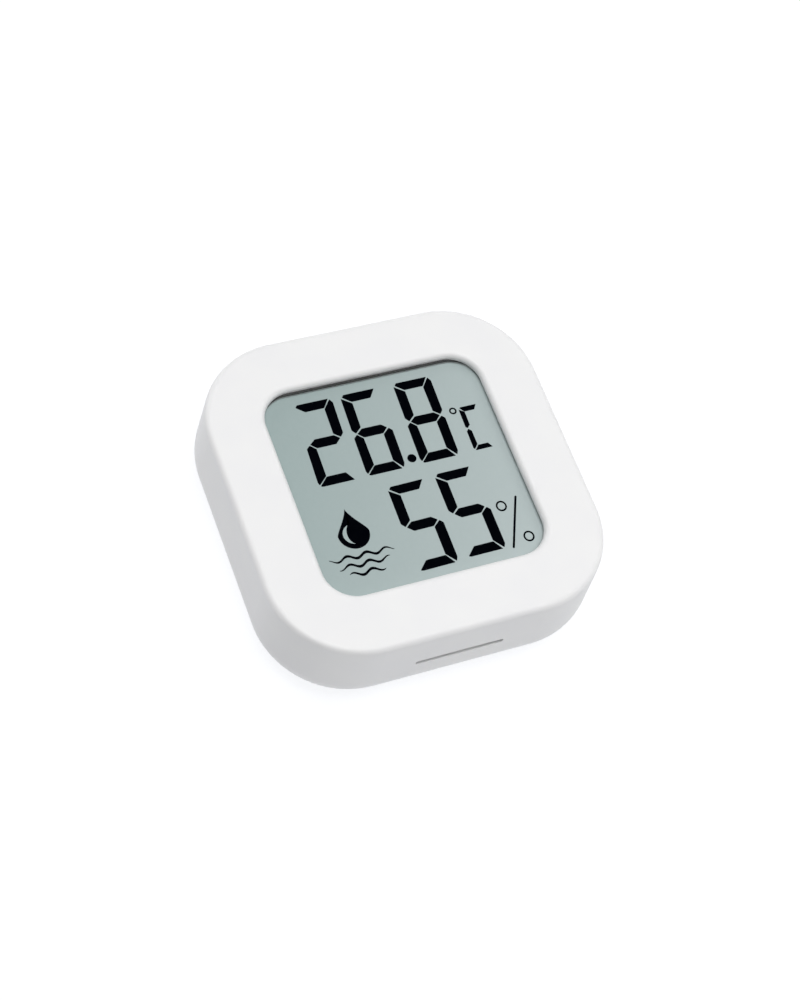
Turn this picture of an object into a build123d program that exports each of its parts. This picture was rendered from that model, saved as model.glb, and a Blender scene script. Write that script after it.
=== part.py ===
from build123d import *
import os
from math import cos, radians, sin, sqrt

# Temperature and humidity sensor with a segment display, lying on its back.
# All lengths are in millimetres and all angles in degrees.
# The origin is at the centre of the back face, +Z points out of the display,
# +Y to the top of the display and +X to its right.

os.makedirs("parts", exist_ok=True)

# Window and moulded housing, seen from the front
window_width = 27.9
window_place = (0.06, 0.26)
window_corner_radius = 3.9
window_edge_radius = 0.72
bezel_width = 7.55
side_wall = 1.7
front_wall = 0.8
corner_radius = 11.4
draft_angle = 2.5
front_edge_radius = 0.75
rear_edge_radius = 3.7
rear_land = 0.2
seam_height = 1.8

# Vent slot in the bottom wall and the walled chamber behind it
vent_length = 11.2
vent_slot_width = 0.72
vent_rise = 0.25
chamber_wall = 0.6
chamber_margin = 0.5
chamber_gap = 0.1

# Display, from its face to its back
gasket_thickness = 0.4
gasket_width = 1.45
gasket_clearance = 0.3
gasket_top_inset = 0.29
polariser_thickness = 0.2
polariser_inset = 0.3
glass_thickness = 0.55
display_margin = 1.75
contact_ledge = 1.8
locating_rib_thickness = 0.7
locating_rib_length = 6.0
locating_rib_clearance = 0.1
locating_rib_spacing = 18.0

# Bracket between the display and the board
bracket_height = 3.2
bracket_wall = 1.2
bracket_corner_radius = 2.0
bracket_lip = 0.65
connector_thickness = 1.4
connector_end_margin = 1.7
connector_clearance = 0.05
peg_radius = 0.45
peg_clearance = 0.05
peg_spacing = 24.0

# Circuit board, its bosses and screws
board_thickness = 0.8
board_clearance = 0.3
boss_radius = 1.4
boss_gap = 0.3
boss_spacing = 18.0
boss_rib_thickness = 0.8
screw_shank_radius = 0.6
screw_hole_clearance = 0.02
screw_board_clearance = 0.15
screw_grip = 3.2
screw_hole_spare = 0.2
screw_head_radius = 1.2
screw_head_height = 0.8

# Parts soldered to the front of the board
blob_radius = 4.5
blob_height = 1.2
blob_slope_height = 0.9
blob_slope_width = 2.2
blob_place = (-4.0, 1.5)
sensor_width = 2.0
sensor_height = 0.75
sensor_edge_gap = 0.45
sensor_port_radius = 0.45
sensor_port_depth = 0.25
crystal_radius = 0.75
crystal_length = 5.0
crystal_place = (7.0, -6.0)
lead_width = 0.25
lead_reach = 1.0
lead_spacing = 0.7
resistor_size = (1.6, 0.8, 0.45)
resistor_place = (6.5, 7.5)
resistor_pitch = 1.7
resistor_count = 5
capacitor_size = (2.0, 1.25, 0.9)
capacitor_place = (-5.5, -8.5)
capacitor_pitch = 3.2
capacitor_count = 3

# Coin cell of the standard 20 mm size and its contacts
cell_radius = 10.0
cell_thickness = 3.2
can_wall = 0.25
can_height = 2.9
can_edge_chamfer = 0.35
crimp_width = 0.45
seal_width = 0.8
cap_edge_chamfer = 0.3
contact_space = 0.9
contact_width = 3.0
contact_sheet = 0.15
contact_bend_radius = 0.5
contact_foot = 3.0
contact_relief = 0.05

# Rear cover
cover_floor = 1.2
lip_height = 1.8
lip_thickness = 1.0
lip_clearance = 0.12
hook_length = 6.0
hook_reach = 0.35
hook_height = 0.8
hook_top_gap = 0.3
hook_clearance = 0.08
cover_rib_thickness = 0.8
cover_rib_gap = 0.6
pry_length = 8.0
pry_depth = 0.7
pry_height = 0.5
compartment_clearance = 0.3
compartment_wall = 1.0
compartment_top_gap = 0.1
compartment_web = 0.7
compartment_web_margin = 1.1
contact_gap_width = 4.6

# Battery door with bayonet lugs, and its seat in the cover
door_recess = 0.15
door_thickness = 1.0
door_radius = 11.6
door_clearance = 0.1
door_edge_chamfer = 0.2
cell_seat_gap = 0.05
lug_reach = 1.0
lug_root = 1.3
lug_height = 0.5
lug_clearance = 0.05
lug_arc = 24.0
lug_count = 3
door_turn = 30.0
stop_arc = 1.5
lug_first_angle = 90.0
coin_slot_length = 13.0
coin_slot_width = 1.8
coin_slot_depth = 0.6

# Unit button in the back, on the diagonal, and the push switch that it works
button_bearing = 45.0
button_radius = 1.8
button_clearance = 0.08
button_recess = 0.2
button_edge_chamfer = 0.25
button_flange_radius = 2.5
button_flange_height = 0.5
button_flange_gap = 0.05
button_shaft_radius = 1.1
guide_clearance = 0.15
guide_wall = 0.7
guide_height = 1.6
guide_gap = 0.5
switch_length = 4.0
switch_width = 3.2
switch_height = 1.5
switch_sheet = 0.15
switch_stem_radius = 0.8
switch_stem_reach = 0.3
switch_collar_reach = 0.35
switch_collar_height = 0.35
switch_clearance = 0.06
switch_travel = 0.25
switch_dome_space = 0.35

# Heights of the stack, from the back face up to the front face
cell_rear = door_recess + door_thickness + cell_seat_gap
cell_front = cell_rear + cell_thickness
board_rear = cell_front + contact_space
board_front = board_rear + board_thickness
bracket_front = board_front + bracket_height
rear_glass_rear = bracket_front + polariser_thickness
front_glass_rear = rear_glass_rear + glass_thickness
front_glass_front = front_glass_rear + glass_thickness
display_face = front_glass_front + polariser_thickness
front_inside = display_face + gasket_thickness
body_thickness = front_inside + front_wall

# Plan sizes that follow from the driving ones
body_width = window_width + 2 * bezel_width
widest_height = rear_edge_radius + rear_land
seam_inset = rear_edge_radius - sqrt(rear_edge_radius**2 - (rear_edge_radius - seam_height) ** 2)
cavity_width = body_width - 2 * side_wall
cavity_corner_radius = corner_radius - side_wall
board_width = cavity_width - 2 * board_clearance
board_corner_radius = cavity_corner_radius - board_clearance

display_width = window_width + 2 * display_margin
rear_glass_height = display_width
front_glass_height = rear_glass_height + contact_ledge
front_glass_shift = contact_ledge / 2
connector_y = rear_glass_height / 2 + contact_ledge / 2
connector_length = display_width - 2 * connector_end_margin

boss_x = display_width / 2 + boss_gap + boss_radius
screw_hole_radius = screw_shank_radius + screw_hole_clearance
peg_y = -(display_width / 2 - bracket_wall / 2)
sensor_y = -(board_width / 2 - sensor_edge_gap - sensor_width / 2)
vent_height = board_front + vent_rise
chamber_half_width = vent_length / 2 + chamber_margin
chamber_wall_y = -(display_width / 2 + locating_rib_clearance + chamber_wall / 2)

lug_radius = door_radius + lug_reach
bore_radius = door_radius + door_clearance
groove_radius = lug_radius + door_clearance
lug_front = door_recess + door_thickness
lug_rear = lug_front - lug_height
groove_rear = lug_rear - lug_clearance
web_rear = lug_front + lug_clearance
web_front = web_rear + compartment_web
compartment_radius = cell_radius + compartment_clearance
compartment_outer_radius = compartment_radius + compartment_wall
web_radius = groove_radius + compartment_web_margin
notch_arc = lug_arc + 2 * stop_arc
groove_arc = door_turn + lug_arc + 2 * stop_arc

flange_rear = cover_floor + button_flange_gap
guide_radius = button_flange_radius + guide_clearance
guide_outer_radius = guide_radius + guide_wall
button_diagonal = web_radius + guide_gap + guide_outer_radius
button_x = button_diagonal * cos(radians(button_bearing))
button_y = button_diagonal * sin(radians(button_bearing))
switch_rear = board_rear - switch_height
frame_rear = switch_rear - switch_sheet
stem_rear = frame_rear - switch_stem_reach
collar_radius = switch_stem_radius + switch_collar_reach

lip_width = cavity_width - 2 * lip_clearance
lip_corner_radius = cavity_corner_radius - lip_clearance
lip_front = seam_height + lip_height
hook_front = lip_front - hook_top_gap
hook_rear = hook_front - hook_height


def radial_plane(angle):
    """Upright plane through the origin: its X runs outwards at the angle, its Y is up."""
    outwards = (cos(radians(angle)), sin(radians(angle)), 0)
    sideways = (sin(radians(angle)), -cos(radians(angle)), 0)
    return Plane(origin=(0, 0, 0), x_dir=outwards, z_dir=sideways)


def finish(built, name):
    """Label a finished piece and write it to its own file."""
    built.part.label = name
    export_step(built.part, f"parts/{name}.step")


# Outer form of the closed case, which the front housing and the rear cover share
with BuildPart() as outer_form:
    with BuildSketch(Plane.XY.offset(widest_height)):
        RectangleRounded(body_width, body_width, corner_radius)
    extrude(amount=body_thickness - widest_height)
    draft(outer_form.faces().filter_by(Axis.Z, reverse=True), Plane.XY.offset(widest_height), draft_angle)
    fillet(outer_form.faces().sort_by(Axis.Z)[-1].edges(), front_edge_radius)
    with BuildSketch(Plane.XY):
        RectangleRounded(body_width, body_width, corner_radius)
    extrude(amount=widest_height)
    fillet(outer_form.faces().sort_by(Axis.Z)[0].edges(), rear_edge_radius)

# Front housing: one moulded tub with the window, the vent slot, bosses and ribs
with BuildPart() as front_housing:
    add(outer_form.part)
    split(bisect_by=Plane.XY.offset(seam_height), keep=Keep.TOP)
    with BuildSketch(Plane.XY.offset(seam_height)):
        RectangleRounded(cavity_width, cavity_width, cavity_corner_radius)
    extrude(amount=front_inside - seam_height, mode=Mode.SUBTRACT)

    # Window through the front wall, with a soft edge and a little off the middle
    with BuildSketch(Plane.XY.offset(body_thickness)):
        with Locations(window_place):
            RectangleRounded(window_width, window_width, window_corner_radius)
    extrude(amount=-front_wall, mode=Mode.SUBTRACT)
    window_rim = front_housing.faces().filter_by(Plane.XY).sort_by(Axis.Z)[-1].inner_wires()
    fillet(window_rim.edges(), window_edge_radius)

    # Four screw bosses, each tied to the side wall by a rib
    with BuildSketch(Plane.XY.offset(board_front)):
        with GridLocations(2 * boss_x, boss_spacing, 2, 2):
            Circle(boss_radius)
    extrude(amount=front_inside - board_front)
    boss_rib_reach = cavity_width / 2 - boss_x
    with BuildSketch(Plane.XY.offset(board_front)):
        with GridLocations(2 * boss_x + boss_rib_reach, boss_spacing, 2, 2):
            Rectangle(boss_rib_reach, boss_rib_thickness)
    extrude(amount=front_inside - board_front)
    with BuildSketch(Plane.XY.offset(board_front)):
        with GridLocations(2 * boss_x, boss_spacing, 2, 2):
            Circle(screw_hole_radius)
    extrude(amount=screw_grip + screw_hole_spare, mode=Mode.SUBTRACT)

    # Ribs that hold the display in line with the window
    rib_offset = display_width / 2 + locating_rib_clearance + locating_rib_thickness / 2
    with BuildSketch(Plane.XY.offset(rear_glass_rear)):
        with GridLocations(2 * rib_offset, 0, 2, 1):
            Rectangle(locating_rib_thickness, locating_rib_length)
        with Locations((0, rib_offset + contact_ledge)):
            with GridLocations(locating_rib_spacing, 0, 2, 1):
                Rectangle(locating_rib_length, locating_rib_thickness)
    extrude(amount=front_inside - rear_glass_rear)

    # Three walls that part the sensor from the warm inside of the case
    chamber_depth = cavity_width / 2 + chamber_wall_y
    chamber_rear = board_front + chamber_gap
    with BuildSketch(Plane.XY.offset(chamber_rear)):
        with Locations((0, chamber_wall_y)):
            Rectangle(2 * chamber_half_width, chamber_wall)
        with Locations((0, chamber_wall_y - chamber_depth / 2)):
            with GridLocations(2 * chamber_half_width - chamber_wall, 0, 2, 1):
                Rectangle(chamber_wall, chamber_depth)
    extrude(amount=front_inside - chamber_rear)

    # Long vent slot with round ends, through the bottom wall
    with BuildSketch(Plane.XZ.offset(body_width / 2)):
        with Locations((0, vent_height)):
            SlotOverall(vent_length, vent_slot_width)
    extrude(amount=-(side_wall + chamber_margin), mode=Mode.SUBTRACT)

    # Pockets for the hooks of the rear cover
    pocket_reach = hook_reach + lip_clearance + hook_clearance
    pocket_height = hook_height + 2 * hook_clearance
    for angle in (0, 90, 180, 270):
        with BuildSketch(radial_plane(angle)):
            with Locations((lip_width / 2, hook_rear - hook_clearance)):
                Rectangle(pocket_reach, pocket_height, align=(Align.MIN, Align.MIN))
        extrude(amount=hook_length / 2 + hook_clearance, both=True, mode=Mode.SUBTRACT)
finish(front_housing, "front_housing")

# Black foam frame between the front wall and the display. It is set back from the window
# at the sides and at the bottom, and reaches into it at the top.
gasket_outer_width = window_width + 2 * gasket_width
gasket_opening_width = window_width + 2 * gasket_clearance
gasket_opening_height = window_width + gasket_clearance - gasket_top_inset
gasket_opening_y = window_place[1] - (gasket_clearance + gasket_top_inset) / 2
with BuildPart() as display_gasket:
    with BuildSketch(Plane.XY.offset(display_face)):
        RectangleRounded(gasket_outer_width, gasket_outer_width, window_corner_radius)
        with Locations((window_place[0], gasket_opening_y)):
            RectangleRounded(
                gasket_opening_width,
                gasket_opening_height,
                window_corner_radius,
                mode=Mode.SUBTRACT,
            )
    extrude(amount=gasket_thickness)
finish(display_gasket, "display_gasket")

# Display: two films and two panes, of which the front one stands out at the top as a ledge
polariser_width = display_width - 2 * polariser_inset
with BuildPart() as front_polariser:
    with BuildSketch(Plane.XY.offset(front_glass_front)):
        Rectangle(polariser_width, polariser_width)
    extrude(amount=polariser_thickness)
finish(front_polariser, "front_polariser")

with BuildPart() as front_glass:
    with BuildSketch(Plane.XY.offset(front_glass_rear)):
        with Locations((0, front_glass_shift)):
            Rectangle(display_width, front_glass_height)
    extrude(amount=glass_thickness)
finish(front_glass, "front_glass")

with BuildPart() as rear_glass:
    with BuildSketch(Plane.XY.offset(rear_glass_rear)):
        Rectangle(display_width, rear_glass_height)
    extrude(amount=glass_thickness)
finish(rear_glass, "rear_glass")

with BuildPart() as rear_polariser:
    with BuildSketch(Plane.XY.offset(bracket_front)):
        Rectangle(polariser_width, polariser_width)
    extrude(amount=polariser_thickness)
finish(rear_polariser, "rear_polariser")

# Bracket: open frame that carries the display and guides the connector strip
bracket_top_y = display_width / 2 + contact_ledge + bracket_lip
bracket_depth = bracket_top_y + display_width / 2
bracket_centre_y = (bracket_top_y - display_width / 2) / 2
opening_width = display_width - 2 * bracket_wall
strip_slot_length = connector_length + 2 * connector_clearance
strip_slot_width = connector_thickness + 2 * connector_clearance
with BuildPart() as display_bracket:
    with BuildSketch(Plane.XY.offset(board_front)):
        with Locations((0, bracket_centre_y)):
            RectangleRounded(display_width, bracket_depth, bracket_corner_radius)
        RectangleRounded(opening_width, opening_width, bracket_wall, mode=Mode.SUBTRACT)
        with Locations((0, connector_y)):
            Rectangle(strip_slot_length, strip_slot_width, mode=Mode.SUBTRACT)
    extrude(amount=bracket_height)
    with BuildSketch(Plane.XY.offset(board_front)):
        with Locations((0, peg_y)):
            with GridLocations(peg_spacing, 0, 2, 1):
                Circle(peg_radius)
    extrude(amount=-board_thickness)
finish(display_bracket, "display_bracket")

# Rubber connector strip, from the ledge of the front pane to the board
with BuildPart() as connector_strip:
    with BuildSketch(Plane.XY.offset(board_front)):
        with Locations((0, connector_y)):
            Rectangle(connector_length, connector_thickness)
    extrude(amount=front_glass_rear - board_front)
finish(connector_strip, "connector_strip")

# Circuit board with holes for the screws and the pegs
with BuildPart() as main_board:
    with BuildSketch(Plane.XY.offset(board_rear)):
        RectangleRounded(board_width, board_width, board_corner_radius)
        with GridLocations(2 * boss_x, boss_spacing, 2, 2):
            Circle(screw_shank_radius + screw_board_clearance, mode=Mode.SUBTRACT)
        with Locations((0, peg_y)):
            with GridLocations(peg_spacing, 0, 2, 1):
                Circle(peg_radius + peg_clearance, mode=Mode.SUBTRACT)
    extrude(amount=board_thickness)
finish(main_board, "main_board")

# Screws from the back, with a plain round head and a plain shank
with BuildPart() as board_screws:
    with BuildSketch(Plane.XY.offset(board_rear)):
        with GridLocations(2 * boss_x, boss_spacing, 2, 2):
            Circle(screw_head_radius)
    extrude(amount=-screw_head_height)
    with BuildSketch(Plane.XY.offset(board_rear)):
        with GridLocations(2 * boss_x, boss_spacing, 2, 2):
            Circle(screw_shank_radius)
    extrude(amount=board_thickness + screw_grip)
finish(board_screws, "board_screws")

# Resin drop over the controller chip, low and with a sloping rim
with BuildPart() as controller_blob:
    with BuildSketch(Plane.XY.offset(board_front)):
        with Locations(blob_place):
            Circle(blob_radius)
    extrude(amount=blob_height)
    chamfer(controller_blob.edges().sort_by(Axis.Z)[-1], length=blob_slope_height, length2=blob_slope_width)
finish(controller_blob, "controller_blob")

# Combined temperature and humidity chip right behind the vent slot, with its port
with BuildPart() as humidity_sensor:
    with BuildSketch(Plane.XY.offset(board_front)):
        with Locations((0, sensor_y)):
            Rectangle(sensor_width, sensor_width)
    extrude(amount=sensor_height)
    with BuildSketch(Plane.XY.offset(board_front + sensor_height)):
        with Locations((0, sensor_y)):
            Circle(sensor_port_radius)
    extrude(amount=-sensor_port_depth, mode=Mode.SUBTRACT)
finish(humidity_sensor, "humidity_sensor")

# Clock crystal in its can, with two leads that run on to their pads
crystal_axis_height = board_front + crystal_radius
with BuildPart() as clock_crystal:
    with BuildSketch(Plane.YZ.offset(crystal_place[0])):
        with Locations((crystal_place[1], crystal_axis_height)):
            Circle(crystal_radius)
    extrude(amount=crystal_length)
    with BuildSketch(Plane.YZ.offset(crystal_place[0] + crystal_length)):
        with Locations((crystal_place[1], crystal_axis_height)):
            with GridLocations(lead_spacing, 0, 2, 1):
                Rectangle(lead_width, lead_width)
    extrude(amount=lead_reach)
finish(clock_crystal, "clock_crystal")

# Small resistors and capacitors beside the controller
with BuildPart() as chip_resistors:
    with BuildSketch(Plane.XY.offset(board_front)):
        with Locations(resistor_place):
            with GridLocations(0, resistor_pitch, 1, resistor_count):
                Rectangle(resistor_size[0], resistor_size[1])
    extrude(amount=resistor_size[2])
finish(chip_resistors, "chip_resistors")

with BuildPart() as chip_capacitors:
    with BuildSketch(Plane.XY.offset(board_front)):
        with Locations(capacitor_place):
            with GridLocations(capacitor_pitch, 0, capacitor_count, 1):
                Rectangle(capacitor_size[0], capacitor_size[1])
    extrude(amount=capacitor_size[2])
finish(chip_capacitors, "chip_capacitors")

# Coin cell: a can with its rim crimped over the seal, the cap as the other pole, the filling
can_front = cell_rear + can_height
cap_radius = cell_radius - can_wall - seal_width
crimp_radius = cell_radius - can_wall - crimp_width
with BuildPart() as cell_can:
    with BuildSketch(Plane.XY.offset(cell_rear)):
        Circle(cell_radius)
    extrude(amount=can_height)
    chamfer(cell_can.edges().filter_by(GeomType.CIRCLE), can_edge_chamfer)
    with BuildSketch(Plane.XY.offset(cell_rear + can_wall)):
        Circle(cell_radius - can_wall)
    extrude(amount=can_height - 2 * can_wall - can_edge_chamfer, mode=Mode.SUBTRACT)
    with BuildSketch(Plane.XY.offset(can_front)):
        Circle(crimp_radius)
    extrude(amount=-(can_height - can_wall), mode=Mode.SUBTRACT)
finish(cell_can, "cell_can")

seal_shoulder = cell_rear + can_height - can_wall - can_edge_chamfer
with BuildPart() as cell_gasket:
    with BuildSketch(Plane.XY.offset(cell_rear + can_wall)):
        Circle(cell_radius - can_wall)
        Circle(cap_radius, mode=Mode.SUBTRACT)
    extrude(amount=seal_shoulder - cell_rear - can_wall)
    with BuildSketch(Plane.XY.offset(seal_shoulder)):
        Circle(crimp_radius)
        Circle(cap_radius, mode=Mode.SUBTRACT)
    extrude(amount=can_front - seal_shoulder)
finish(cell_gasket, "cell_gasket")

with BuildPart() as cell_cap:
    with BuildSketch(Plane.XY.offset(cell_rear + can_wall)):
        Circle(cap_radius)
    extrude(amount=cell_thickness - can_wall)
    chamfer(cell_cap.edges().sort_by(Axis.Z)[-1], cap_edge_chamfer)
    with BuildSketch(Plane.XY.offset(cell_rear + can_wall)):
        Circle(cap_radius - can_wall)
    extrude(amount=cell_thickness - 2 * can_wall, mode=Mode.SUBTRACT)
finish(cell_cap, "cell_cap")

with BuildPart() as cell_filling:
    with BuildSketch(Plane.XY.offset(cell_rear + can_wall)):
        Circle(cap_radius - can_wall)
    extrude(amount=cell_thickness - 2 * can_wall)
finish(cell_filling, "cell_filling")

# Sprung strip that rises from the board to the middle of the cap
crest_height = cell_front + contact_relief + contact_sheet
contact_run = cell_radius * 3 / 5
with BuildPart() as negative_contact:
    with BuildSketch(Plane.XZ):
        with BuildLine():
            FilletPolyline(
                (-contact_run - contact_foot, board_rear),
                (-contact_run, board_rear),
                (0, crest_height),
                (contact_run / 2, (crest_height + board_rear) / 2),
                radius=contact_bend_radius,
            )
            offset(amount=contact_sheet, side=Side.RIGHT)
        make_face()
    extrude(amount=contact_width / 2, both=True)
finish(negative_contact, "negative_contact")

# Sprung strip from the board down to the side of the can
contact_knee_x = cell_radius + contact_relief + contact_sheet
contact_foot_x = compartment_outer_radius + contact_foot
contact_waist = (cell_rear + board_rear) / 2
with BuildPart() as positive_contact:
    with BuildSketch(radial_plane(-90)):
        with BuildLine():
            FilletPolyline(
                (contact_foot_x, board_rear),
                (compartment_outer_radius - contact_sheet, board_rear),
                (contact_knee_x, contact_waist - contact_sheet),
                (compartment_radius, web_front + contact_sheet),
                radius=contact_bend_radius,
            )
            offset(amount=contact_sheet, side=Side.LEFT)
        make_face()
    extrude(amount=contact_width / 2, both=True)
finish(positive_contact, "positive_contact")

# Push switch: moulded body with a well, sheet frame over it and the stem in the well
well_radius = collar_radius + switch_clearance
collar_rear = switch_rear + switch_clearance
well_front = collar_rear + switch_collar_height + switch_travel + switch_dome_space
with BuildPart() as switch_base:
    with BuildSketch(Plane.XY.offset(switch_rear)):
        with Locations((button_x, button_y)):
            Rectangle(switch_length, switch_width)
            Circle(well_radius, mode=Mode.SUBTRACT)
    extrude(amount=switch_height)
    with BuildSketch(Plane.XY.offset(well_front)):
        with Locations((button_x, button_y)):
            Circle(well_radius)
    extrude(amount=board_rear - well_front)
finish(switch_base, "switch_base")

with BuildPart() as switch_frame:
    with BuildSketch(Plane.XY.offset(frame_rear)):
        with Locations((button_x, button_y)):
            Rectangle(switch_length + 2 * switch_sheet, switch_width)
            Circle(switch_stem_radius + switch_clearance, mode=Mode.SUBTRACT)
    extrude(amount=switch_sheet)
    with BuildSketch(Plane.XY.offset(switch_rear)):
        with Locations((button_x, button_y)):
            with GridLocations(switch_length + switch_sheet, 0, 2, 1):
                Rectangle(switch_sheet, switch_width / 2)
    extrude(amount=switch_height)
finish(switch_frame, "switch_frame")

with BuildPart() as switch_stem:
    with BuildSketch(Plane.XY.offset(stem_rear)):
        with Locations((button_x, button_y)):
            Circle(switch_stem_radius)
    extrude(amount=collar_rear - stem_rear)
    with BuildSketch(Plane.XY.offset(collar_rear)):
        with Locations((button_x, button_y)):
            Circle(collar_radius)
    extrude(amount=switch_collar_height)
finish(switch_stem, "switch_stem")

# Unit button: cap in the back face, flange behind the cover and a shaft to the switch
with BuildPart() as unit_button:
    with BuildSketch(Plane.XY.offset(button_recess)):
        with Locations((button_x, button_y)):
            Circle(button_radius)
    extrude(amount=flange_rear - button_recess)
    chamfer(unit_button.edges().sort_by(Axis.Z)[0], button_edge_chamfer)
    with BuildSketch(Plane.XY.offset(flange_rear)):
        with Locations((button_x, button_y)):
            Circle(button_flange_radius)
    extrude(amount=button_flange_height)
    with BuildSketch(Plane.XY.offset(flange_rear + button_flange_height)):
        with Locations((button_x, button_y)):
            Circle(button_shaft_radius)
    extrude(amount=stem_rear - flange_rear - button_flange_height)
finish(unit_button, "unit_button")

# Rear cover: dished plate with a snap lip, the cell compartment and the button guide
with BuildPart() as rear_cover:
    add(outer_form.part)
    split(bisect_by=Plane.XY.offset(seam_height), keep=Keep.BOTTOM)
    with BuildSketch(Plane.XY.offset(cover_floor)):
        RectangleRounded(lip_width, lip_width, lip_corner_radius)
    extrude(amount=lip_front - cover_floor)
    inner_width = lip_width - 2 * lip_thickness
    with BuildSketch(Plane.XY.offset(cover_floor)):
        RectangleRounded(inner_width, inner_width, lip_corner_radius - lip_thickness)
    extrude(amount=lip_front - cover_floor, mode=Mode.SUBTRACT)

    # Web over the bayonet seat, and the wall round the cell
    with BuildSketch(Plane.XY.offset(cover_floor)):
        Circle(web_radius)
    extrude(amount=web_front - cover_floor)
    with BuildSketch(Plane.XY.offset(web_front)):
        Circle(compartment_outer_radius)
    extrude(amount=cell_front - compartment_top_gap - web_front)
    with BuildSketch(Plane.XY):
        Circle(compartment_radius)
    extrude(amount=cell_front, mode=Mode.SUBTRACT)
    with BuildSketch(Plane.XY.offset(web_front)):
        with Locations((0, -compartment_radius)):
            Rectangle(contact_gap_width, 2 * compartment_wall + compartment_clearance)
    extrude(amount=cell_front - web_front, mode=Mode.SUBTRACT)

    # Bore for the door, and the bayonet seat: an entry and a run for each lug
    with BuildSketch(Plane.XY):
        Circle(bore_radius)
    extrude(amount=web_rear, mode=Mode.SUBTRACT)
    groove_root = bore_radius - lug_root
    for lug in range(lug_count):
        lug_angle = lug_first_angle + lug * 360 / lug_count
        entry_start = lug_angle - door_turn - notch_arc / 2
        with BuildSketch(radial_plane(entry_start)):
            with Locations((groove_root, 0)):
                Rectangle(groove_radius - groove_root, web_rear, align=(Align.MIN, Align.MIN))
        revolve(axis=Axis.Z, revolution_arc=notch_arc, mode=Mode.SUBTRACT)
        with BuildSketch(radial_plane(entry_start)):
            with Locations((groove_root, groove_rear)):
                Rectangle(groove_radius - groove_root, web_rear - groove_rear, align=(Align.MIN, Align.MIN))
        revolve(axis=Axis.Z, revolution_arc=groove_arc, mode=Mode.SUBTRACT)

    # Guide and hole for the unit button
    with BuildSketch(Plane.XY.offset(cover_floor)):
        with Locations((button_x, button_y)):
            Circle(guide_outer_radius)
    extrude(amount=guide_height)
    with BuildSketch(Plane.XY.offset(cover_floor)):
        with Locations((button_x, button_y)):
            Circle(guide_radius)
    extrude(amount=lip_height, mode=Mode.SUBTRACT)
    with BuildSketch(Plane.XY):
        with Locations((button_x, button_y)):
            Circle(button_radius + button_clearance)
    extrude(amount=cover_floor, mode=Mode.SUBTRACT)

    # Snap hooks with a ramp to the front, one on each side of the lip
    for angle in (0, 90, 180, 270):
        with BuildSketch(radial_plane(angle)):
            with BuildLine():
                Polyline(
                    (lip_width / 2, hook_rear),
                    (lip_width / 2 + lip_clearance + hook_reach, hook_rear),
                    (lip_width / 2, hook_front),
                    close=True,
                )
            make_face()
        extrude(amount=hook_length / 2, both=True)

    # Stiffening ribs from the web to the lip
    rib_length = inner_width / 2 - web_radius
    with BuildSketch(Plane.XY.offset(cover_floor)):
        with GridLocations(inner_width - rib_length, 0, 2, 1):
            Rectangle(rib_length, cover_rib_thickness)
        with GridLocations(0, inner_width - rib_length, 1, 2):
            Rectangle(cover_rib_thickness, rib_length)
    extrude(amount=lip_front - cover_rib_gap - cover_floor)

    # Notch at the bottom of the seam for prying the cover off
    with BuildSketch(Plane.XY.offset(seam_height)):
        with Locations((0, seam_inset - body_width / 2)):
            SlotOverall(pry_length, 2 * pry_depth)
    extrude(amount=-pry_height, mode=Mode.SUBTRACT)
finish(rear_cover, "rear_cover")

# Battery door: disc with bayonet lugs and a coin slot in its outer face
with BuildPart() as battery_door:
    with BuildSketch(Plane.XY.offset(door_recess)):
        Circle(door_radius)
    extrude(amount=door_thickness)
    chamfer(battery_door.edges().sort_by(Axis.Z)[0], door_edge_chamfer)
    for lug in range(lug_count):
        lug_start = lug_first_angle + lug * 360 / lug_count - lug_arc / 2
        with BuildSketch(radial_plane(lug_start)):
            with Locations((door_radius - lug_root, lug_rear)):
                Rectangle(lug_root + lug_reach, lug_height, align=(Align.MIN, Align.MIN))
        revolve(axis=Axis.Z, revolution_arc=lug_arc)
    with BuildSketch(Plane.XY.offset(door_recess)):
        SlotOverall(coin_slot_length, coin_slot_width)
    extrude(amount=coin_slot_depth, mode=Mode.SUBTRACT)
finish(battery_door, "battery_door")
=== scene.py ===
import math

import bmesh
import bpy
from mathutils import Matrix, Quaternion, Vector


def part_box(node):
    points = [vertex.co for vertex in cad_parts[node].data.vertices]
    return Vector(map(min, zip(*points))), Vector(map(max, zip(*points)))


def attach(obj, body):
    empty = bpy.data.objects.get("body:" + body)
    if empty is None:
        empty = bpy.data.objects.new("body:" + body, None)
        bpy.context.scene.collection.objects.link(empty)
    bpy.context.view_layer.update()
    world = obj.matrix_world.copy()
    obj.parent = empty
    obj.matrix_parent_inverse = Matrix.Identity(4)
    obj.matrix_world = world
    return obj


# Looks of a small temperature and humidity sensor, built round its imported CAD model.
# Lengths are in metres in the CAD frame: the back face lies at z = 0, +Z points out
# of the display, +Y to its top and +X to its right.
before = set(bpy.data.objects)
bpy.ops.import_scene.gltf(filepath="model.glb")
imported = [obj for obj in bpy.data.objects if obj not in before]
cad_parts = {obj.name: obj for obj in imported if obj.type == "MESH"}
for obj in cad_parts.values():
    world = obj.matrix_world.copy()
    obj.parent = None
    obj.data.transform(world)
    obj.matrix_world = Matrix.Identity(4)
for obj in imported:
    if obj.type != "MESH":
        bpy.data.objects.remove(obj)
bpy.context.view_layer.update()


# Front housing: the one-piece tub that frames the window and makes the side walls.
# Injection-moulded white ABS. The tool was spark eroded, so the skin is satin with
# an even grain, and it hides the flow lines of the moulding.
MM = 0.001
TONE_SHARES = (0.35, 0.65)


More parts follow.
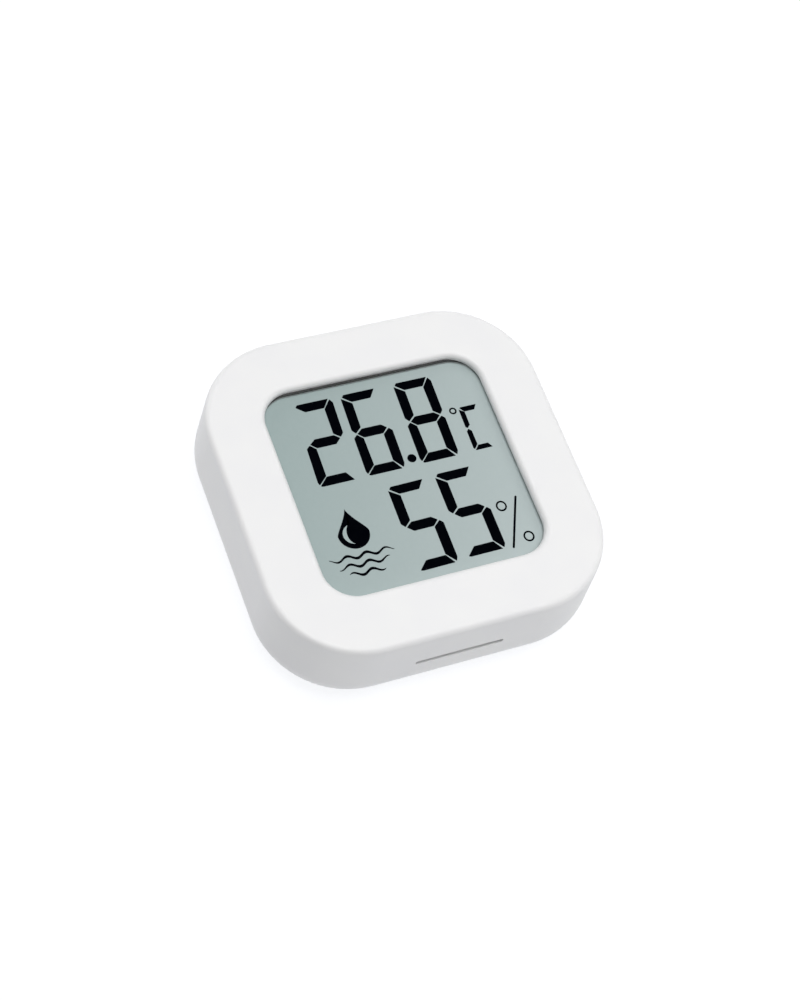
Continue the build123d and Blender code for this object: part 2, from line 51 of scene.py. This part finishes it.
def linear(hex_colour):
    """An sRGB hex colour as the linear colour that a shader socket holds."""
    shares = [int(hex_colour[start : start + 2], 16) / 255 for start in (1, 3, 5)]
    straight = [
        share / 12.92 if share <= 0.04045 else ((share + 0.055) / 1.055) ** 2.4 for share in shares
    ]
    return straight + [1.0]


def add_node(tree, kind, sockets, **settings):
    """Add a node with its settings, and set each socket or link it to the output given."""
    node = tree.nodes.new(kind)
    for name, value in settings.items():
        setattr(node, name, value)
    for name, value in sockets.items():
        if isinstance(value, bpy.types.NodeSocket):
            tree.links.new(value, node.inputs[name])
        else:
            node.inputs[name].default_value = value
    return node


def start_material(name, colour, **sockets):
    """A material whose shader starts from one colour and the given socket values."""
    material = bpy.data.materials.new(name)
    material.use_nodes = True
    tree = material.node_tree
    shader = tree.nodes["Principled BSDF"]
    shader.inputs["Base Color"].default_value = linear(colour)
    for socket, value in sockets.items():
        shader.inputs[socket.replace("_", " ")].default_value = value
    return material, tree, shader


def mottle(tree, shader, colours, size):
    """Let the colour drift between two close tones, in patches of the given size."""
    place = add_node(tree, "ShaderNodeTexCoord", {})
    patches = add_node(
        tree,
        "ShaderNodeTexNoise",
        {"Vector": place.outputs["Object"], "Scale": 1 / size, "Detail": 2.0},
    )
    tones = add_node(tree, "ShaderNodeValToRGB", {"Fac": patches.outputs["Fac"]})
    for element, share, colour in zip(tones.color_ramp.elements, TONE_SHARES, colours):
        element.position = share
        element.color = linear(colour)
    tree.links.new(tones.outputs["Color"], shader.inputs["Base Color"])
    return tones


def grain(tree, shader, size, height):
    """Raise an even grain of the given size and height out of the surface."""
    place = add_node(tree, "ShaderNodeTexCoord", {})
    grains = add_node(
        tree,
        "ShaderNodeTexNoise",
        {"Vector": place.outputs["Object"], "Scale": 1 / size, "Detail": 3.0},
    )
    relief = add_node(
        tree,
        "ShaderNodeBump",
        {"Height": grains.outputs["Fac"], "Distance": height, "Strength": 1.0},
    )
    tree.links.new(relief.outputs["Normal"], shader.inputs["Normal"])


def dress(material, *nodes):
    """Give CAD nodes a material in each of their slots."""
    for name in nodes:
        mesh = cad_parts[name].data
        if not mesh.materials:
            mesh.materials.append(material)
        for index in range(len(mesh.materials)):
            mesh.materials[index] = material


# ABS reads as a bright, slightly soft white with a broad, weak highlight
white_abs, tree, shader = start_material("moulded_white_abs", "#E8E8E8", Roughness=0.5, IOR=1.53)
mottle(tree, shader, ("#E7E7E8", "#E9E9E9"), size=6 * MM)
# The real grain is near 0.05 mm, and it is drawn three times as coarse so that it shows
grain(tree, shader, size=0.15 * MM, height=0.004 * MM)
dress(white_abs, "front_housing")


# Foam frame between the front wall and the display, seen as a dark line in the window.
# Die-cut from black polyurethane foam with open pores, which reads as a dull dark grey.
# Its foot is painted pale, drawn as a tape: painted light that lightens and softens the lower edge of
# the dark line.
# Height and soft edge of the painted pale band at the foot of the foam
PAINTED_PALE_BAND_HEIGHT = 0.24 * MM
PAINTED_PALE_BAND_BLUR = 0.03 * MM
black_foam, tree, shader = start_material("black_foam", "#363738", Roughness=0.9, IOR=1.45)
pores = mottle(tree, shader, ("#2D2E2E", "#404141"), size=0.25 * MM)
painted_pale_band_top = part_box("display_gasket")[0][2] + PAINTED_PALE_BAND_HEIGHT
place = add_node(tree, "ShaderNodeTexCoord", {})
level = add_node(tree, "ShaderNodeSeparateXYZ", {"Vector": place.outputs["Object"]})
above_painted_pale_band = add_node(
    tree,
    "ShaderNodeMapRange",
    {"Value": level.outputs["Z"], "From Min": painted_pale_band_top - PAINTED_PALE_BAND_BLUR, "From Max": painted_pale_band_top + PAINTED_PALE_BAND_BLUR},
)
# Below the band's top the foam is painted pale, a painted light on the lower edge of the dark line
foam_with_painted_foot = add_node(
    tree,
    "ShaderNodeMixRGB",
    {"Fac": above_painted_pale_band.outputs["Result"], "Color1": linear("#B4B6B6"), "Color2": pores.outputs["Color"]},
)
tree.links.new(foam_with_painted_foot.outputs["Color"], shader.inputs["Base Color"])
grain(tree, shader, size=0.2 * MM, height=0.03 * MM)
dress(black_foam, "display_gasket")


# Front film of the display: a polariser with a matt, anti-glare top coat, laminated on
# the front pane. Over the reflector behind the panes it gives the grey-green of a
# reflective display with a faint mottle, and a painted sheen makes it lighter to the lower right.
# Direction, reach and share of the painted sheen that lightens the film to the lower right
PAINTED_SHEEN_TURN = math.radians(22)
PAINTED_SHEEN_REACH = 16 * MM
PAINTED_SHEEN_SHARE = 0.85
COAT_SHARE = 0.15
COAT_PATCH = 0.5 * MM
display_film, tree, shader = start_material(
    "matt_polariser_film", "#9DABAB", Roughness=0.45, IOR=1.49, Specular_IOR_Level=0.25
)
place = add_node(tree, "ShaderNodeTexCoord", {})
turned = add_node(
    tree,
    "ShaderNodeMapping",
    {"Vector": place.outputs["Object"], "Rotation": (0, 0, PAINTED_SHEEN_TURN)},
)
across = add_node(tree, "ShaderNodeSeparateXYZ", {"Vector": turned.outputs["Vector"]})
# Painted sheen: the film's colour runs lighter to the lower right, as if more light fell there
painted_sheen = add_node(
    tree,
    "ShaderNodeMapRange",
    {
        "Value": across.outputs["X"],
        "From Min": -PAINTED_SHEEN_REACH,
        "From Max": PAINTED_SHEEN_REACH,
        "To Max": PAINTED_SHEEN_SHARE,
    },
)
coat = add_node(
    tree,
    "ShaderNodeTexNoise",
    {"Vector": place.outputs["Object"], "Scale": 1 / COAT_PATCH, "Detail": 4.0},
)
mixed = add_node(
    tree,
    "ShaderNodeMath",
    {0: coat.outputs["Fac"], 1: COAT_SHARE, 2: painted_sheen.outputs["Result"]},
    operation="MULTIPLY_ADD",
)
# Darker and lighter ends of the painted sheen, with the random mottle laid over it
tones = add_node(tree, "ShaderNodeValToRGB", {"Fac": mixed.outputs["Value"]})
tones.color_ramp.elements[0].color = linear("#94A4A3")
tones.color_ramp.elements[1].color = linear("#AEB9B9")
tree.links.new(tones.outputs["Color"], shader.inputs["Base Color"])
grain(tree, shader, size=0.12 * MM, height=0.001 * MM)
dress(display_film, "front_polariser")


# Digits of the display: a dark layer of liquid crystal over each driven electrode, with
# narrow gaps between the electrodes. The real layer lies between the panes. Here it lies
# on the film, because the film is opaque. It reads as a flat blue-black with no gloss.
ink_black, tree, shader = start_material(
    "driven_liquid_crystal", "#030408", Roughness=0.6, IOR=1.49, Specular_IOR_Level=0.0
)
mottle(tree, shader, ("#020307", "#040509"), size=0.5 * MM)
film_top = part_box("front_polariser")[1][2]
CHARACTER_THICKNESS = 0.012 * MM
END_ROUNDING = 0.09 * MM
END_STEPS = 5
CIRCLE_STEPS = 40

# Corners of the seven bars of one digit, as shares of its half width and half height
BAR_SHARES = {
    "top": ((-0.905, 0.943), (-0.8, 1), (0.81, 1), (0.488, 0.797), (-0.49, 0.795)),
    "upper left": ((-0.98, 0.922), (-0.48, 0.756), (-0.492, 0.16), (-0.825, 0.034), (-0.99, 0.125)),
    "upper right": (
        (0.862, 0.978), (0.995, 0.885), (0.995, 0.128), (0.825, 0.044), (0.505, 0.158), (0.48, 0.767)
    ),
    "middle": (
        (-0.775, 0.017), (-0.48, 0.12), (0.508, 0.12), (0.775, 0.023), (0.498, -0.097), (-0.488, -0.097)
    ),
    "lower left": (
        (-0.812, 0.003), (-0.53, -0.114), (-0.492, -0.772), (-0.935, -0.952), (-1, -0.885), (-1, -0.07)
    ),
    "lower right": (
        (0.84, 0.003), (1, -0.07), (1, -0.885), (0.9, -0.98), (0.495, -0.766), (0.497, -0.12)
    ),
    "bottom": ((-0.91, -0.978), (-0.8, -1), (0.815, -1), (0.487, -0.788), (-0.485, -0.788)),
}
LIT_BARS = {
    "2": ("top", "upper right", "middle", "lower left", "bottom"),
    "5": ("top", "upper left", "middle", "lower right", "bottom"),
    "6": ("top", "upper left", "middle", "lower left", "lower right", "bottom"),
    "8": tuple(BAR_SHARES),
}

# Each row gives a digit, its centre, its slant to the right and the rise of its bars
TOP_ROW_SIZE = (4.97 * MM, 11.36 * MM)
TOP_ROW = (
    ("2", (-7.51 * MM, 6.88 * MM), 0.05, 0.0),
    ("6", (-1.47 * MM, 6.9 * MM), 0.038, 0.0),
    ("8", (5.47 * MM, 6.93 * MM), 0.031, 0.0),
)
BOTTOM_ROW_SIZE = (5.13 * MM, 11.46 * MM)
BOTTOM_ROW = (
    ("5", (0.0, -6.51 * MM), 0.008, 0.014),
    ("5", (6.19 * MM, -6.28 * MM), 0.003, 0.006),
)
POINT_CENTRE = (1.91 * MM, 2.23 * MM)
POINT_RADIUS = 0.56 * MM


def outline(mesh, corners):
    """A flat face through a few corners, in the plane of the film."""
    return mesh.faces.new([mesh.verts.new((x, y, 0)) for x, y in corners])


def round_corners(mesh, radius):
    """Round every corner of flat faces."""
    bmesh.ops.bevel(
        mesh,
        geom=mesh.verts[:],
        offset=radius,
        segments=END_STEPS,
        profile=0.5,
        affect="VERTICES",
        material=-1,
    )


def thicken(mesh, height):
    """Give flat faces a thickness along Z, and return the corners of the new side."""
    made = bmesh.ops.extrude_face_region(mesh, geom=mesh.faces[:])
    moved = [item for item in made["geom"] if isinstance(item, bmesh.types.BMVert)]
    bmesh.ops.translate(mesh, verts=moved, vec=(0, 0, height))
    bmesh.ops.recalc_face_normals(mesh, faces=mesh.faces)
    return moved


def raise_to_film(mesh, shift):
    """Give flat faces their thickness and set them on the film, at their place."""
    bmesh.ops.recalc_face_normals(mesh, faces=mesh.faces)
    for face in mesh.faces:
        if face.normal.z < 0:
            face.normal_flip()
    thicken(mesh, CHARACTER_THICKNESS)
    bmesh.ops.translate(mesh, verts=mesh.verts, vec=(shift[0], shift[1], film_top))


def add_shape(mesh, shape):
    """Add a finished shape to a bmesh, and free the shape."""
    shape_data = bpy.data.meshes.new("shape")
    shape.to_mesh(shape_data)
    shape.free()
    mesh.from_mesh(shape_data)
    bpy.data.meshes.remove(shape_data)


def draw_digit(mesh, character, centre, size, lean, climb):
    """Add one digit. lean is its slant to the right, climb the rise of its bars."""
    digit = bmesh.new()
    half_width, half_height = size[0] / 2, size[1] / 2
    for bar in LIT_BARS[character]:
        outline(digit, [(x * half_width, y * half_height) for x, y in BAR_SHARES[bar]])
    round_corners(digit, END_ROUNDING)
    slope = Matrix(((1, lean, 0, 0), (climb, 1, 0, 0), (0, 0, 1, 0), (0, 0, 0, 1)))
    bmesh.ops.transform(digit, matrix=slope, verts=digit.verts)
    raise_to_film(digit, centre)
    add_shape(mesh, digit)


def keep_piece(mesh, name, material, body):
    """Turn a finished bmesh into a piece at the origin that rides on a body."""
    data = bpy.data.meshes.new(name)
    mesh.to_mesh(data)
    mesh.free()
    data.materials.append(material)
    piece = bpy.data.objects.new(name, data)
    bpy.context.scene.collection.objects.link(piece)
    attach(piece, body)
    return piece


digits = bmesh.new()
for character, centre, lean, climb in TOP_ROW:
    draw_digit(digits, character, centre, TOP_ROW_SIZE, lean, climb)
point = bmesh.new()
bmesh.ops.create_circle(point, cap_ends=True, radius=POINT_RADIUS, segments=CIRCLE_STEPS)
raise_to_film(point, POINT_CENTRE)
add_shape(digits, point)
keep_piece(digits, "temperature_digits", ink_black, "case")

digits = bmesh.new()
for character, centre, lean, climb in BOTTOM_ROW:
    draw_digit(digits, character, centre, BOTTOM_ROW_SIZE, lean, climb)
keep_piece(digits, "humidity_digits", ink_black, "case")


# Signs beside the digits: degree ring and letter C above, per cent sign below.
# Etched and driven like the digits, with fixed outlines.
DEGREE_CENTRE = (9.19 * MM, 7.21 * MM)
DEGREE_RADIUS = 0.475 * MM
DEGREE_STROKE = 0.21 * MM
LETTER_CENTRE = (11.05 * MM, 4.42 * MM)
PERCENT_RINGS = ((10.16 * MM, -6.62 * MM), (11.92 * MM, -11.25 * MM))
PERCENT_RADIUS = 0.68 * MM
PERCENT_TALL_SHARE = 1.05
PERCENT_STROKE = 0.215 * MM
SLASH_ENDS = ((9.55 * MM, -12.18 * MM), (12.34 * MM, -5.83 * MM))
SLASH_WIDTH = 0.275 * MM

# Corners of the four bars of the letter, in millimetres from its centre
LETTER_BARS = (
    ((-0.93, 2.95), (-0.79, 3.05), (1.28, 3.05), (0.83, 2.37), (-0.49, 2.37)),
    ((-1.09, 2.79), (-0.46, 2.31), (-0.51, 0.48), (-0.91, 0.08), (-1.16, 0.25)),
    ((-0.9, -0.04), (-0.57, -0.4), (-0.58, -2.32), (-1.12, -2.9), (-1.27, -2.74), (-1.21, -0.35)),
    ((-1.06, -3.03), (-0.53, -2.44), (0.76, -2.44), (1.16, -3.09), (-0.98, -3.09)),
)


def ring(mesh, centre, radius, stroke, tall_share=1.0):
    """Add a flat ring of one stroke round a centre, a little taller than wide if asked."""
    loops = []
    for size in (radius, radius - stroke):
        made = bmesh.ops.create_circle(mesh, radius=size, segments=CIRCLE_STEPS)
        bmesh.ops.scale(mesh, verts=made["verts"], vec=(1, tall_share, 1))
        bmesh.ops.translate(mesh, verts=made["verts"], vec=(*centre, 0))
        loops += [edge for vert in made["verts"] for edge in vert.link_edges]
    bmesh.ops.bridge_loops(mesh, edges=list(set(loops)))


signs = bmesh.new()
ring(signs, DEGREE_CENTRE, DEGREE_RADIUS, DEGREE_STROKE)
for bar in LETTER_BARS:
    outline(signs, [(LETTER_CENTRE[0] + x * MM, LETTER_CENTRE[1] + y * MM) for x, y in bar])
for centre in PERCENT_RINGS:
    ring(signs, centre, PERCENT_RADIUS, PERCENT_STROKE, PERCENT_TALL_SHARE)
start, end = Vector(SLASH_ENDS[0]), Vector(SLASH_ENDS[1])
along = (end - start).normalized() * SLASH_WIDTH / 2
aside = Vector((-along.y, along.x))
slash = (start - aside, end - aside, end + along, end + aside, start + aside, start - along)
outline(signs, slash)
raise_to_film(signs, (0, 0))
keep_piece(signs, "unit_signs", ink_black, "case")


# Humidity sign at the lower left: a drop with a bright crescent over three ripples.
# Etched and driven like the digits, with outlines of its own.
DROP_CENTRE = (-8.4 * MM, -5.6 * MM)
DROP_RADIUS = 1.95 * MM
DROP_TIP = 3.4 * MM
DROP_STEPS = 96
FLANK_POWERS = (1.6, 0.9)
TIP_POWER = 2.2
GLINT_RADIUS = 1.3 * MM
GLINT_SHARE = 0.6
RIPPLE_PITCH = 2.4 * MM
RIPPLE_HEIGHT = 0.26 * MM
RIPPLE_STROKE = 0.36 * MM
RIPPLE_STEPS = 60
RIPPLE_TAPER_SHARE = 0.8
RIPPLE_TAPER_POWER = 3
RIPPLES = ((-2.85 * MM, 8.0 * MM), (-3.95 * MM, 6.4 * MM), (-5.05 * MM, 4.4 * MM))
drop = bmesh.new()
drop_loop = bmesh.ops.create_circle(drop, radius=DROP_RADIUS, segments=DROP_STEPS)["verts"]
for vert in drop_loop:
    # The upper half of the circle is drawn in at its flanks and pulled up to a tip
    rise = min(max(vert.co.y / DROP_RADIUS, 0.0), 1.0)
    vert.co.x *= (1 - rise ** FLANK_POWERS[0]) ** FLANK_POWERS[1]
    vert.co.y += rise**TIP_POWER * (DROP_TIP - DROP_RADIUS)
glint_loop = bmesh.ops.create_circle(drop, radius=GLINT_RADIUS, segments=DROP_STEPS)["verts"]
for vert in glint_loop:
    # The crescent is the left half of a ring: its right half is folded over to the left
    if vert.co.x > 0:
        vert.co.x *= -GLINT_SHARE
bmesh.ops.bridge_loops(drop, edges=drop.edges[:])
for height, length in RIPPLES:
    ripple = bmesh.ops.create_grid(drop, x_segments=RIPPLE_STEPS, y_segments=1, size=0.5)["verts"]
    # The grid is a unit square, bent to a wave and drawn thin towards both ends
    for vert in ripple:
        run = vert.co.x * length
        wave = math.sin(run * 2 * math.pi / RIPPLE_PITCH) * RIPPLE_HEIGHT
        taper = 1 - abs(2 * vert.co.x) ** RIPPLE_TAPER_POWER * RIPPLE_TAPER_SHARE
        vert.co = (run, height + wave + vert.co.y * RIPPLE_STROKE * taper, 0)
raise_to_film(drop, DROP_CENTRE)
keep_piece(drop, "humidity_sign", ink_black, "case")


# Panes and back film of the display, behind the front film and hidden in the case.
# Float glass 0.55 mm thick with ground edges, clear with a faint green, and a
# reflector film that reads as dull silver.
display_glass, tree, shader = start_material(
    "float_glass", "#DDEAE6", Roughness=0.05, IOR=1.52, Transmission_Weight=0.9
)
mottle(tree, shader, ("#D8E8E3", "#E2EEEA"), size=3 * MM)
dress(display_glass, "front_glass", "rear_glass")
reflector, tree, shader = start_material(
    "brushed_reflector_film", "#C4C8C8", Roughness=0.35, Metallic=0.8
)
mottle(tree, shader, ("#BFC3C4", "#CACDCD"), size=0.3 * MM)
dress(reflector, "rear_polariser")


# Bracket behind the display: an open frame that carries it and guides the connector
# strip, with two pegs in the board. Moulded in unfilled ABS, which is a dull ivory.
natural_abs, tree, shader = start_material("natural_abs", "#D9D2BF", Roughness=0.5, IOR=1.53)
mottle(tree, shader, ("#D5CDB8", "#DDD7C6"), size=4 * MM)
grain(tree, shader, size=0.2 * MM, height=0.004 * MM)
dress(natural_abs, "display_bracket")


# Connector strip between the ledge of the front pane and the board.
# Silicone rubber in thin layers, every second one filled with carbon, which reads as
# fine dark and pale bands. It stands in a slot of the bracket, pressed between the two.

# A layer is really 0.1 mm wide, and the bands are drawn wider so that they show
LAYER_PITCH = 0.4 * MM
# The wave pattern repeats after this length at a scale of 1
WAVE_LENGTH = 0.314
layered_rubber, tree, shader = start_material(
    "layered_silicone_rubber", "#3A3A3C", Roughness=0.7, IOR=1.41
)
place = add_node(tree, "ShaderNodeTexCoord", {})
bands = add_node(
    tree,
    "ShaderNodeTexWave",
    {"Vector": place.outputs["Object"], "Scale": WAVE_LENGTH / LAYER_PITCH, "Distortion": 0.4},
    wave_type="BANDS",
    bands_direction="X",
)
tones = add_node(tree, "ShaderNodeValToRGB", {"Fac": bands.outputs["Fac"]})
tones.color_ramp.elements[0].color = linear("#1A1A1C")
tones.color_ramp.elements[1].color = linear("#8C8F90")
tree.links.new(tones.outputs["Color"], shader.inputs["Base Color"])
dress(layered_rubber, "connector_strip")


# Circuit board: glass-fibre laminate under a green solder mask, held by four screws.
# The weave of the glass cloth shows faintly through the mask.
THREAD_PITCH = 0.5 * MM
board_laminate, tree, shader = start_material(
    "masked_laminate", "#1F5A38", Roughness=0.35, IOR=1.55
)
place = add_node(tree, "ShaderNodeTexCoord", {})
threads = add_node(
    tree,
    "ShaderNodeTexChecker",
    {
        "Vector": place.outputs["Object"],
        "Scale": 1 / THREAD_PITCH,
        "Color1": linear("#1C5434"),
        "Color2": linear("#22603D"),
    },
)
tree.links.new(threads.outputs["Color"], shader.inputs["Base Color"])
dress(board_laminate, "main_board")


# Screws that hold the board to the four bosses of the housing. Zinc-plated steel with
# a bluish passivation, a cool and fairly bright metal.
zinc_steel, tree, shader = start_material(
    "zinc_plated_steel", "#B9BEC4", Roughness=0.32, Metallic=1.0
)
mottle(tree, shader, ("#B2B7BE", "#C2C6CA"), size=0.6 * MM)
grain(tree, shader, size=0.1 * MM, height=0.003 * MM)
dress(zinc_steel, "board_screws")


# Resin drop over the controller chip, which seals it on the board. Black epoxy, poured
# and cured to a dull gloss with a slightly wavy skin.
black_resin, tree, shader = start_material(
    "poured_black_epoxy", "#0D0D0F", Roughness=0.3, IOR=1.55
)
mottle(tree, shader, ("#0A0A0C", "#131315"), size=1.5 * MM)
grain(tree, shader, size=1.2 * MM, height=0.02 * MM)
dress(black_resin, "controller_blob")


# Chips soldered to the board: the sensor in a moulded package that reads as a dull
# black, resistors with a faint glaze, and capacitors of bare fired ceramic, a matt tan.
black_package, tree, shader = start_material(
    "moulded_black_package", "#1B1B1D", Roughness=0.55, IOR=1.55
)
mottle(tree, shader, ("#17171A", "#212124"), size=0.3 * MM)
grain(tree, shader, size=0.1 * MM, height=0.004 * MM)
dress(black_package, "humidity_sensor")
black_ceramic, tree, shader = start_material(
    "glazed_black_ceramic", "#202022", Roughness=0.4, IOR=1.6
)
mottle(tree, shader, ("#1B1B1D", "#28282B"), size=0.3 * MM)
dress(black_ceramic, "chip_resistors")
tan_ceramic, tree, shader = start_material("fired_tan_ceramic", "#B08B5E", Roughness=0.5, IOR=1.6)
mottle(tree, shader, ("#A98457", "#B89467"), size=0.3 * MM)
dress(tan_ceramic, "chip_capacitors")


# Clock crystal in a drawn can, the sprung contacts of the cell and the frame of the
# switch. All are nickel plated: a warm, fairly bright metal with fine draw marks.
nickel_plate, tree, shader = start_material(
    "nickel_plate", "#BDB7AC", Roughness=0.28, Metallic=1.0
)
mottle(tree, shader, ("#B5AFA3", "#C6C0B5"), size=0.5 * MM)
grain(tree, shader, size=0.15 * MM, height=0.002 * MM)
dress(nickel_plate, "clock_crystal", "negative_contact", "positive_contact", "switch_frame")


# Coin cell: can and cap of stainless steel with a spun finish, bright and a little cool.
# Crimped between them is a nylon seal, a dull grey-blue. The filling is pressed powder,
# nearly black and without gloss.
cell_steel, tree, shader = start_material(
    "spun_stainless_steel", "#C9CACB", Roughness=0.25, Metallic=1.0
)
mottle(tree, shader, ("#C0C2C4", "#D0D1D1"), size=1.0 * MM)
grain(tree, shader, size=0.2 * MM, height=0.002 * MM)
dress(cell_steel, "cell_can", "cell_cap")
seal_nylon, tree, shader = start_material("moulded_seal_nylon", "#5F6E78", Roughness=0.5, IOR=1.53)
mottle(tree, shader, ("#586771", "#66757F"), size=1.0 * MM)
dress(seal_nylon, "cell_gasket")
pressed_powder, tree, shader = start_material("pressed_powder", "#2B2A29", Roughness=0.95)
mottle(tree, shader, ("#222120", "#343332"), size=0.3 * MM)
grain(tree, shader, size=0.2 * MM, height=0.03 * MM)
dress(pressed_powder, "cell_filling")


# Push switch behind the button: base and stem under the sheet frame, soldered to the
# board. Moulded in black nylon, a dull black with a soft highlight.
black_nylon, tree, shader = start_material(
    "moulded_black_nylon", "#18181A", Roughness=0.5, IOR=1.53
)
mottle(tree, shader, ("#141416", "#1E1E20"), size=0.5 * MM)
grain(tree, shader, size=0.15 * MM, height=0.004 * MM)
dress(black_nylon, "switch_base", "switch_stem")


# Rear cover, battery door and unit button, moulded in the same white ABS as the front.
# The cover snaps into the housing, the door turns on its bayonet lugs and the button
# is held by its flange.
dress(white_abs, "rear_cover", "battery_door", "unit_button")


# Turning mark on the battery door: an arrow that shows the way the door opens.
# Moulded with the door in the same ABS, and a little proud of its sunk face.
ARROW_RADII = (8.25 * MM, 8.75 * MM)
ARROW_START = math.radians(115)
ARROW_TURN = math.radians(-42)
ARROW_STEPS = 18
ARROW_TIP_TURN = math.radians(-10)
ARROW_HEAD_RADII = (7.65 * MM, 9.35 * MM)
MARK_HEIGHT = 0.1 * MM
MARK_ROUNDING = 0.03 * MM
# The rim of the mark is where its faces meet at more than this, in radians
RIM_ANGLE = 1.0


def on_circle(radius, angle):
    """A place on a circle round the door's axis."""
    return (radius * math.cos(angle), radius * math.sin(angle))


arrow = bmesh.new()
shaft_end = [arrow.verts.new((*on_circle(radius, ARROW_START), 0)) for radius in ARROW_RADII]
shaft_edge = arrow.edges.new(shaft_end)
bmesh.ops.spin(
    arrow,
    geom=shaft_end + [shaft_edge],
    axis=(0, 0, 1),
    cent=(0, 0, 0),
    angle=ARROW_TURN,
    steps=ARROW_STEPS,
)
head_angle = ARROW_START + ARROW_TURN
tip = on_circle(sum(ARROW_RADII) / 2, head_angle + ARROW_TIP_TURN)
outline(arrow, [on_circle(radius, head_angle) for radius in ARROW_HEAD_RADII] + [tip])
bmesh.ops.recalc_face_normals(arrow, faces=arrow.faces)
crown = thicken(arrow, -MARK_HEIGHT)
rim = [
    edge
    for edge in arrow.edges
    if all(vert in crown for vert in edge.verts) and edge.calc_face_angle() > RIM_ANGLE
]
bmesh.ops.bevel(
    arrow, geom=rim, offset=MARK_ROUNDING, segments=2, profile=0.5, affect="EDGES", material=-1
)
door_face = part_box("battery_door")[0][2]
bmesh.ops.translate(arrow, verts=arrow.verts, vec=(0, 0, door_face))
arrow_piece = keep_piece(arrow, "door_turning_mark", white_abs, "battery_door")


# Floor of the studio: a wide sheet of opal acrylic, lit evenly from below by slightly
# cool lamps, so that the shadows round the object stay faint.
FLOOR_HALF_SIZE = 1.5
FLOOR_GAP = 0.02 * MM
FLOOR_GLOW = 0.81
LAMP_TINT = (0.98, 0.992, 1.015, 1)
floor_mesh = bmesh.new()
bmesh.ops.create_grid(floor_mesh, x_segments=1, y_segments=1, size=FLOOR_HALF_SIZE)
bmesh.ops.translate(floor_mesh, verts=floor_mesh.verts, vec=(0, 0, -FLOOR_GAP))
floor_data = bpy.data.meshes.new("floor")
floor_mesh.to_mesh(floor_data)
floor_mesh.free()
opal_acrylic, tree, shader = start_material(
    "matt_opal_acrylic",
    "#898989",
    Roughness=0.9,
    Specular_IOR_Level=0.0,
    Emission_Color=LAMP_TINT,
    Emission_Strength=FLOOR_GLOW,
)
mottle(tree, shader, ("#888888", "#8A8A8A"), size=80 * MM)
floor_data.materials.append(opal_acrylic)
floor = bpy.data.objects.new("floor", floor_data)
bpy.context.scene.collection.objects.link(floor)


# Soft light of the studio: a large source overhead and five smaller ones round the
# object. Each row gives the direction from the display's bottom edge and the height
# of a source in degrees, its distance, its width and its power in watts.
SOFTBOXES = (
    ("overhead", 0, 90, 0.6, 0.5, 3.51),
    ("bottom", 0, 10, 0.55, 0.25, 0.15),
    ("bottom_right", 45, 10, 0.55, 0.25, 0.255),
    ("right", 90, 40, 0.55, 0.25, 0.584),
    ("top_right", 135, 40, 0.55, 0.25, 0.122),
    ("top_left", 207, 20, 0.55, 0.25, 0.75),
)
for name, bearing, height, distance, width, power in SOFTBOXES:
    turn, rise = math.radians(bearing), math.radians(height)
    out = Vector((math.cos(rise) * math.sin(turn), -math.cos(rise) * math.cos(turn), math.sin(rise)))
    light_data = bpy.data.lights.new(name + "_softbox", "AREA")
    light_data.shape = "SQUARE"
    light_data.size = width
    light_data.energy = power
    light = bpy.data.objects.new(name + "_softbox", light_data)
    light.location = out * distance
    light.rotation_euler = out.to_track_quat("Z", "Y").to_euler()
    bpy.context.scene.collection.objects.link(light)


# Far wall of the studio, as pale as the floor. Only the camera sees it, so it throws no
# light on the object.
WALL_SHADE = 0.82
world = bpy.data.worlds.new("studio")
world.use_nodes = True
wall = world.node_tree.nodes["Background"].inputs
wall["Color"].default_value = (WALL_SHADE, WALL_SHADE, WALL_SHADE, 1)
sight = add_node(world.node_tree, "ShaderNodeLightPath", {})
world.node_tree.links.new(sight.outputs["Is Camera Ray"], wall["Strength"])
bpy.context.scene.world = world
bpy.context.scene.view_settings.view_transform = "Standard"


# Camera at the photograph's place: high at the lower left, a quarter of a metre away
# with a long lens, and turned round its own axis.
CAMERA_PLACE = Vector((-80.1506, -100.8486, 220.2894)) * MM
CAMERA_AIM = Vector((0.3134, -0.5112, 6.0)) * MM
CAMERA_ROLL = math.radians(21.0886)
CAMERA_LENS = 93.287
camera_data = bpy.data.cameras.new("camera")
camera_data.sensor_fit = "HORIZONTAL"
camera_data.sensor_width = 36.0
camera_data.lens = CAMERA_LENS
camera_data.clip_start = 0.01
camera = bpy.data.objects.new("camera", camera_data)
camera.rotation_mode = "QUATERNION"
camera.location = CAMERA_PLACE
facing = (CAMERA_AIM - CAMERA_PLACE).to_track_quat("-Z", "Y")
camera.rotation_quaternion = facing @ Quaternion((0, 0, 1), CAMERA_ROLL)
bpy.context.scene.collection.objects.link(camera)
bpy.context.scene.camera = camera
